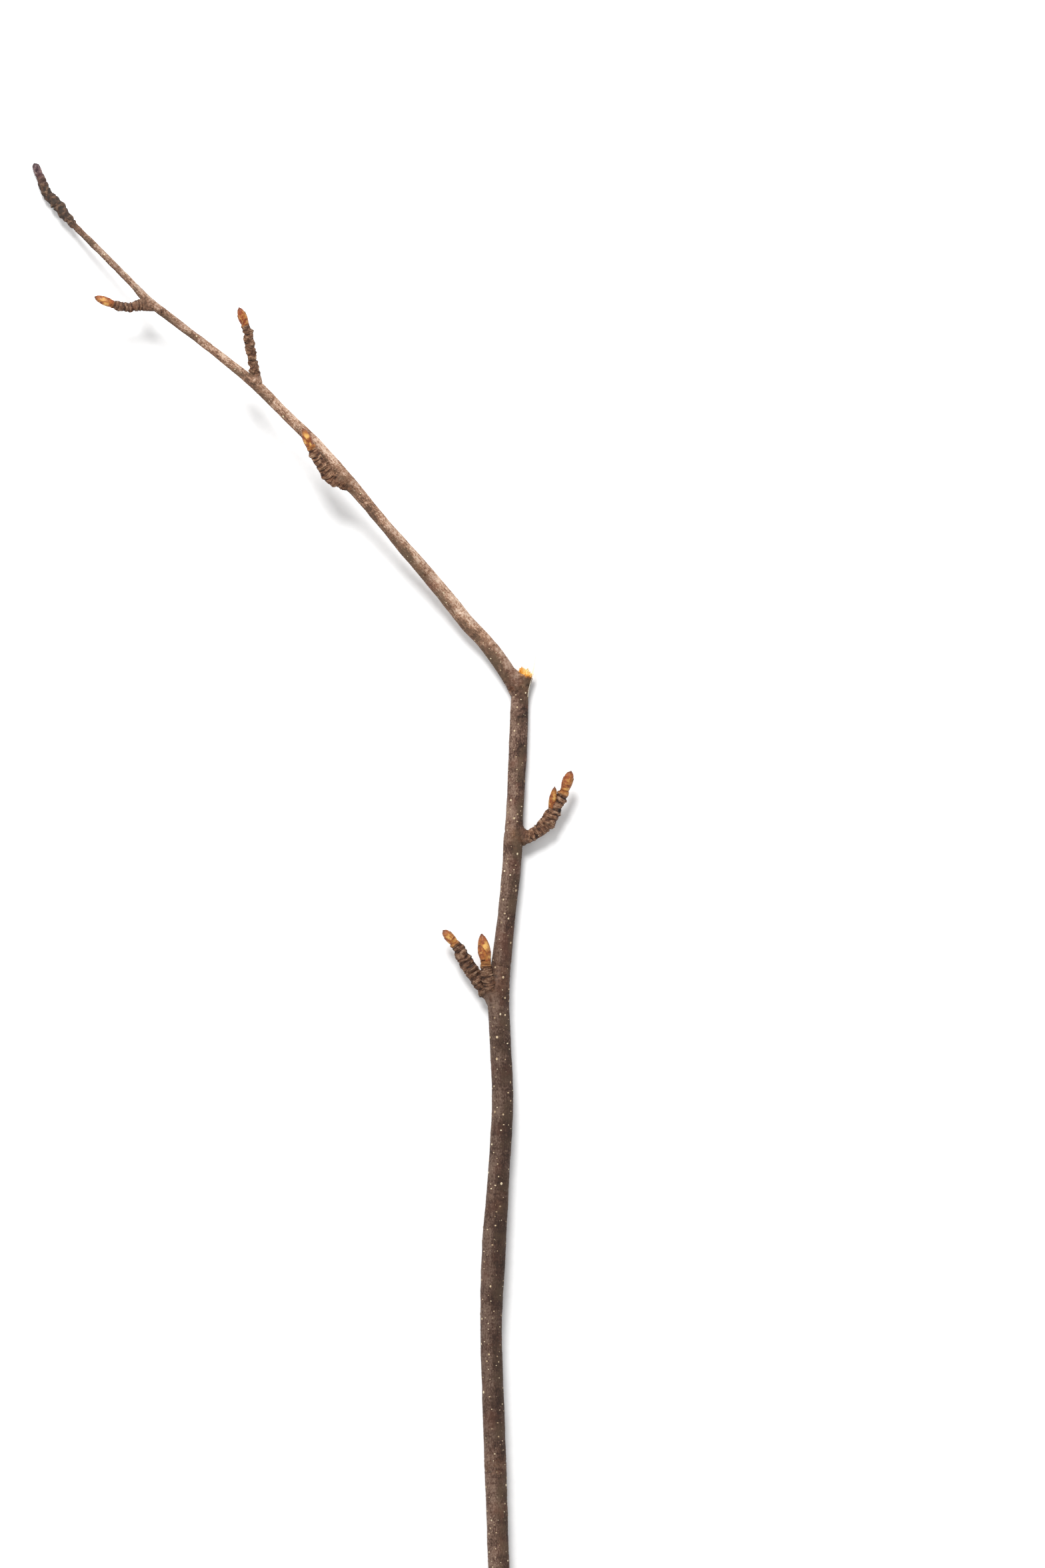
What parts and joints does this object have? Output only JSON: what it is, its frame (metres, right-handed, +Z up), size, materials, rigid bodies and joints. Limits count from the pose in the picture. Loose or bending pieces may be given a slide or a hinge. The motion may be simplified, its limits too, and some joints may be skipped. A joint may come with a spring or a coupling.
{
  "type": "birch branch",
  "caption": "Forked leafless birch branch lying down, with a snapped top, a long side shoot, ringed short shoots and pointed winter buds.",
  "frame": {"origin": "on the resting surface, under the middle of the branch's box", "axes": "+Y along the main stem from the cut end towards the fork and the side shoot's tip; +Z up, away from the resting surface"},
  "size_m": [0.1804, 0.6128, 0.027],
  "materials": {
    "grey_bark": "matt mottled bark with pale lenticels",
    "spur_bark": "rough ringed bark",
    "bud_scale": "smooth, slightly resinous scales",
    "dark_scale": "smooth dark scales"
  },
  "bodies": {
    "root": {"main_stem": "grey_bark", "side_shoot": "grey_bark", "near_tip_spur": "spur_bark", "upright_spur": "spur_bark", "leaning_spur": "spur_bark", "knobbed_spur": "spur_bark", "tall_spur": "spur_bark", "slanting_spur": "spur_bark", "near_tip_bud": "bud_scale", "upright_bud": "bud_scale", "leaning_bud": "bud_scale", "knobbed_end_bud": "bud_scale", "knobbed_side_bud": "bud_scale", "tall_bud": "bud_scale", "slanting_bud": "bud_scale", "tip_bud": "dark_scale"}
  },
  "joints": []
}
